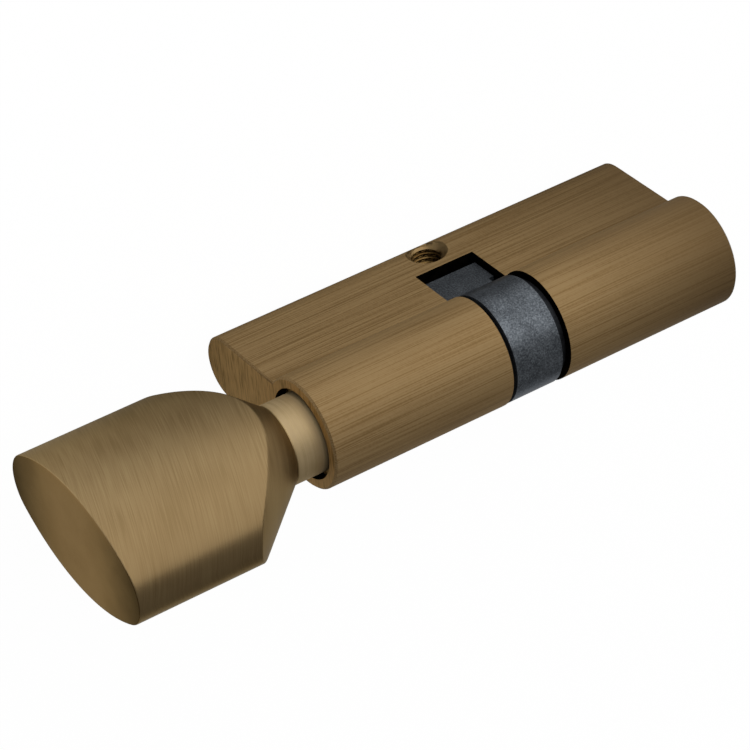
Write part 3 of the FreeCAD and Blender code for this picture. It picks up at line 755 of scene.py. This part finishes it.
def knob_mesh(finishes):
    """The profiles set round the tilted axis and joined, with a fan at each closed end."""
    profiles = [knob_profile(math.tau * i / knob_points_round) for i in range(knob_points_round)]
    rows = len(profiles[0])
    points, faces = [], []
    for i, profile in enumerate(profiles):
        angle = math.tau * i / knob_points_round + knob_tilt
        across, up = math.cos(angle), math.sin(angle)
        for x, radius, _ in profile:
            points.append((x, radius * across, plug_axis_height + radius * up))
    first_middle, last_middle = len(points), len(points) + 1
    points += [(stub_bore_end, 0, plug_axis_height), (knob_end, 0, plug_axis_height)]
    for i in range(knob_points_round):
        here, there = i * rows, (i + 1) % knob_points_round * rows
        faces.append((first_middle, here, there))
        for row in range(rows - 1):
            faces.append((here + row, here + row + 1, there + row + 1, there + row))
        faces.append((here + rows - 1, last_middle, there + rows - 1))
    mesh = bpy.data.meshes.new("thumbturn_knob_shown")
    mesh.from_pydata(points, [], faces)
    names = list(finishes)
    for finish in finishes.values():
        mesh.materials.append(finish)
    row_names = ["bore"] + [point[2] for point in profiles[0][1:]] + ["end"]
    for index, face in enumerate(mesh.polygons):
        face.material_index = names.index(row_names[index % (rows + 1)])
    return mesh


def satin_antique_brass():
    """Satin antique brass: soft lines that lean across the knob, over a cloudy brown.

    The lines are laid on the knob as if its round faces were unrolled, and are drawn wider than the
    real ones so that they show. Towards the upper tip the colour is mixed with dark brown: painted shade.
    """
    material, tree, shader, place = metal("satin_antique_brass", 0.42, patina_rim, 0.3)
    own = add(tree, "ShaderNodeMapping", {
        "Vector": place,
        "Location": (0.0, 0.0, plug_axis_height),
        "Rotation": (knob_tilt, 0.0, 0.0),
    }, vector_type="TEXTURE").outputs["Vector"]
    parts = add(tree, "ShaderNodeSeparateXYZ", {"Vector": own}).outputs
    from_axis = add(tree, "ShaderNodeMath", {0: parts["Y"]}, operation="ABSOLUTE").outputs[0]
    from_centre = add(tree, "ShaderNodeMath", {
        0: from_axis,
        1: side_offset,
    }, operation="ADD").outputs[0]
    angle = add(tree, "ShaderNodeMath", {0: parts["Z"], 1: from_centre}, operation="ARCTAN2").outputs[0]
    around = add(tree, "ShaderNodeMath", {0: angle, 1: side_radius}, operation="MULTIPLY").outputs[0]
    unrolled = add(tree, "ShaderNodeCombineXYZ", {"X": parts["X"], "Z": around}).outputs["Vector"]
    lines = streaks(tree, unrolled, 8 * MM, 0.18 * MM, 1.0, turned=(0.0, -line_lean, 0.0))
    cloud = grains(tree, place, 9 * MM, 1.0)
    tone = add(tree, "ShaderNodeMix", {0: 0.38, 2: lines, 3: cloud}).outputs[0]
    worn = add(tree, "ShaderNodeValToRGB", {"Fac": tone}, stops=[
        (0.36, "#907954"), (0.5, "#9b835d"), (0.64, "#a48d65"),
    ]).outputs["Color"]
    # Painted shade: the colour is mixed with dark brown towards the upper tip.
    darker = add(tree, "ShaderNodeMapRange", {
        "Value": add(tree, "ShaderNodeSeparateXYZ", {"Vector": place}).outputs["Z"],
        "From Min": plug_axis_height + 6 * MM,
        "From Max": plug_axis_height + 15 * MM,
        "To Min": 0.0,
        "To Max": 0.33,
    }).outputs["Result"]
    colour = add(tree, "ShaderNodeMix", {
        0: darker,
        6: worn,
        7: linear(painted_shade_brown),
    }, data_type="RGBA").outputs[2]
    dress(tree, shader, colour, lines, 0.39, 0.45, 0.004 * MM)
    brushed_along(tree, shader, line_direction)
    return material


def satin_end_brass():
    """Satin antique brass on the knob's end: even and brown, with painted shade towards both tips."""
    material, tree, shader, place = metal("satin_end_brass", 0.4, patina_rim)
    cloud = grains(tree, place, 7 * MM)
    height = add(tree, "ShaderNodeSeparateXYZ", {"Vector": place}).outputs["Z"]
    above = add(tree, "ShaderNodeMath", {0: height, 1: plug_axis_height}, operation="SUBTRACT").outputs[0]
    # Painted shade: the colour goes to a dark brown towards both tips.
    darker = add(tree, "ShaderNodeMapRange", {
        "Value": add(tree, "ShaderNodeMath", {0: above}, operation="ABSOLUTE").outputs[0],
        "From Min": 4 * MM,
        "From Max": half_width,
        "To Min": 0.0,
        "To Max": 1.0,
    }).outputs["Result"]
    tone = add(tree, "ShaderNodeMix", {0: 0.2, 2: darker, 3: cloud}).outputs[0]
    colour = add(tree, "ShaderNodeValToRGB", {"Fac": tone}, stops=[
        (0.0, "#8e734c"), (0.3, "#806742"), (0.9, "#3f301b"),
    ]).outputs["Color"]
    dress(tree, shader, colour, cloud, 0.36, 0.46)
    return material


knob = place_piece("thumbturn_knob_shown", knob_mesh({
    "body": satin_antique_brass(),
    "neck": turned_brass("turned_neck", "#d3bc93", "#bba276", 0.6, 0.3),
    "end": satin_end_brass(),
    "bore": oxide_and_shade,
}))
grub_low, grub_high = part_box("knob_grub_screw")
grub_middle = (grub_low + grub_high) / 2
grub_out = Vector((0, -math.cos(knob_tilt), -math.sin(knob_tilt)))
grub_place = Vector((grub_middle.x, 0, plug_axis_height)) + grub_out * grub_hole_middle
bpy.ops.mesh.primitive_cylinder_add(
    vertices=grub_hole_sides, radius=grub_hole_radius, depth=grub_hole_depth,
)
grub_hole = bpy.context.object
grub_hole.data.transform(
    Matrix.Translation(grub_place) @ grub_out.to_track_quat("Z", "Y").to_matrix().to_4x4()
)
cut_away(knob, grub_hole)
smooth(knob)
finish_piece(knob, "thumbturn", "antique_brass_knob", "thumbturn_knob")


# Grub screw: blackened steel with a hexagon socket, out of sight on the knob's far side. It
# clamps the knob to the spindle's stub.

def blackened_steel():
    """Blackened steel: an oily black oxide that is nearly matt."""
    material, tree, shader, place = metal("blackened_steel", 0.4)
    cloud = grains(tree, place, 0.8 * MM)
    colour = add(tree, "ShaderNodeValToRGB", {"Fac": cloud}, stops=[
        (0.35, "#1f2022"), (0.65, "#2f3033"),
    ]).outputs["Color"]
    dress(tree, shader, colour, cloud, 0.35, 0.5)
    return material


refined("knob_grub_screw", "thumbturn", "blackened_steel", blackened_steel())


# Studio: a paper floor in a white room. Both are white to the camera and dimmer in the metal, and
# the floor keeps the object's shadow. A large soft lamp stands beside the flat face, and a smaller
# one beyond the key end.

floor_size = 6.0
paper_glow = 1.03
shown_share = 0.95
mirrored_share = 0.92
dim_within = 25 * MM
white_beyond = 80 * MM
dim_level = 0.12
room_level = 0.2
room_mirrored_level = 0.22
object_middle = (-18 * MM, 0, 16 * MM)


def studio_floor():
    """White paper: white to the camera, and in the metal pale far off, with painted shade near the
    object.
    """
    material = bpy.data.materials.new("studio_floor")
    material.use_nodes = True
    tree = material.node_tree
    tree.nodes.clear()
    paper = add(tree, "ShaderNodeBsdfDiffuse", {"Color": linear("#f4f4f2")})
    rays = add(tree, "ShaderNodeLightPath").outputs
    mirrored = add(tree, "ShaderNodeMath", {
        0: rays["Is Glossy Ray"],
        1: rays["Is Transmission Ray"],
    }, operation="MAXIMUM").outputs[0]
    place = add(tree, "ShaderNodeTexCoord").outputs["Object"]
    far = add(tree, "ShaderNodeVectorMath", {0: place}, operation="LENGTH").outputs["Value"]
    # Painted shade: the floor's glow in the metal is dimmed near the object, as if the object shaded it.
    dimmed = add(tree, "ShaderNodeMapRange", {
        "Value": far,
        "From Min": dim_within,
        "From Max": white_beyond,
        "To Min": dim_level,
        "To Max": 1.0,
    }).outputs["Result"]
    level = add(tree, "ShaderNodeMath", {
        0: rays["Is Camera Ray"],
        1: dimmed,
    }, operation="MAXIMUM").outputs[0]
    white = add(tree, "ShaderNodeEmission", {
        "Color": linear("#ffffff"),
        "Strength": add(tree, "ShaderNodeMath", {
            0: level,
            1: paper_glow,
        }, operation="MULTIPLY").outputs[0],
    })
    shares = [
        add(tree, "ShaderNodeMath", {0: ray, 1: share}, operation="MULTIPLY").outputs[0]
        for ray, share in ((rays["Is Camera Ray"], shown_share), (mirrored, mirrored_share))
    ]
    mixed = add(tree, "ShaderNodeMixShader", {
        "Fac": add(tree, "ShaderNodeMath", dict(enumerate(shares)), operation="MAXIMUM").outputs[0],
        1: paper.outputs["BSDF"],
        2: white.outputs["Emission"],
    })
    add(tree, "ShaderNodeOutputMaterial", {"Surface": mixed.outputs["Shader"]})
    return material


def studio_room():
    """A room that is white to the camera, and dim in the metal and as light."""
    room = bpy.data.worlds.new("room")
    room.use_nodes = True
    tree = room.node_tree
    rays = add(tree, "ShaderNodeLightPath").outputs
    mirrored = add(tree, "ShaderNodeMath", {
        0: rays["Is Glossy Ray"],
        1: rays["Is Transmission Ray"],
    }, operation="MAXIMUM").outputs[0]
    dim = add(tree, "ShaderNodeMapRange", {
        "Value": mirrored,
        "From Min": 0.0,
        "From Max": 1.0,
        "To Min": room_level,
        "To Max": room_mirrored_level,
    }).outputs["Result"]
    level = add(tree, "ShaderNodeMath", {
        0: rays["Is Camera Ray"],
        1: dim,
    }, operation="MAXIMUM").outputs[0]
    backdrop = tree.nodes["Background"]
    backdrop.inputs["Color"].default_value = linear("#ffffff")
    tree.links.new(level, backdrop.inputs["Strength"])
    return room


def soft_lamp(name, place, size, strength):
    """A square soft lamp aimed at the object; at strength 1 its face looks white."""
    lamp = bpy.data.lights.new(name, "AREA")
    lamp.size = size
    lamp.energy = strength * math.pi * size * size
    holder = bpy.data.objects.new(name, lamp)
    holder.location = place
    holder.rotation_euler = (Vector(object_middle) - Vector(place)).to_track_quat("-Z", "Y").to_euler()
    bpy.context.scene.collection.objects.link(holder)


bpy.ops.mesh.primitive_plane_add(size=floor_size, location=(0, 0, casing_low.z))
floor = bpy.context.object
floor.data.materials.append(studio_floor())
bpy.context.scene.world = studio_room()
soft_lamp("side_window", place=(0.11, 0.5, 0.35), size=0.8, strength=1.15)
soft_lamp("end_fill", place=(0.90, 0.02, 0.12), size=0.5, strength=1.0)


# Camera: a long lens above and beside the knob, which looks along the casing at its flat side and
# its barrel.

camera_place = Vector((-221.84, 279.69, 348.98)) * MM
camera_turn = Euler([math.radians(angle) for angle in (-32.7793, -34.1699, -5.1999)])

lens = bpy.data.cameras.new("camera")
lens.sensor_width = 36.0
lens.lens = 164.27
lens.clip_start = 0.01
camera = bpy.data.objects.new("camera", lens)
camera.location = camera_place
camera.rotation_euler = camera_turn
bpy.context.scene.collection.objects.link(camera)
bpy.context.scene.camera = camera

bpy.context.scene.view_settings.view_transform = "Standard"
